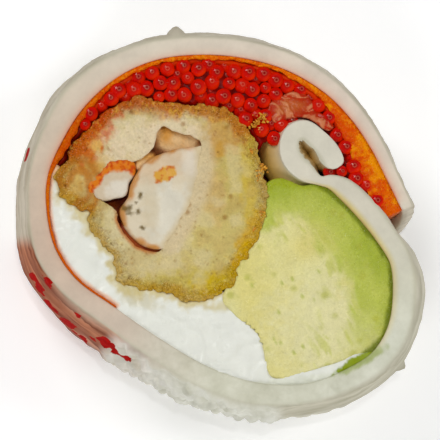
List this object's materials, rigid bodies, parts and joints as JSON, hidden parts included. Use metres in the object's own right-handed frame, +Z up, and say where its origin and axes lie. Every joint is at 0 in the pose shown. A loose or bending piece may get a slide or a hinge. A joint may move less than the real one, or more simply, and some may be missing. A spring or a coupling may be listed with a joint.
{
  "type": "maki roll slice",
  "caption": "Thick slice of a rice-less maki roll: white squid sheet round red roe, fried prawn, soft cheese and avocado, resting on one cut face.",
  "frame": {"origin": "middle of the footprint, on the surface the slice stands on", "axes": "+Z up, from the cut face it stands on to the cut face that shows; +X towards the sheet's outer end, along the slice's longest extent; +Y towards the roe"},
  "size_m": [0.063, 0.059, 0.0243],
  "materials": {
    "squid": "wet, faintly translucent white squid flesh",
    "orange_paste": "moist orange paste of very fine roe, grainy",
    "roe": "glossy translucent red eggs in their juice",
    "pink_shred": "wet translucent pink-brown shred",
    "batter": "soft fried batter, beige inside with a golden craggy rim",
    "prawn": "moist cooked prawn flesh",
    "prawn_tail": "moist cooked prawn flesh with an orange skin along one side",
    "cheese": "smooth soft white cheese",
    "avocado": "ripe avocado flesh, yellow turning green towards its rim"
  },
  "bodies": {
    "root": {"squid_sheet": "squid", "orange_paste": "orange_paste", "roe": "roe", "pink_shred": "pink_shred", "batter": "batter", "prawn": "prawn", "prawn_tail": "prawn_tail", "cheese": "cheese", "avocado": "avocado"}
  },
  "joints": []
}
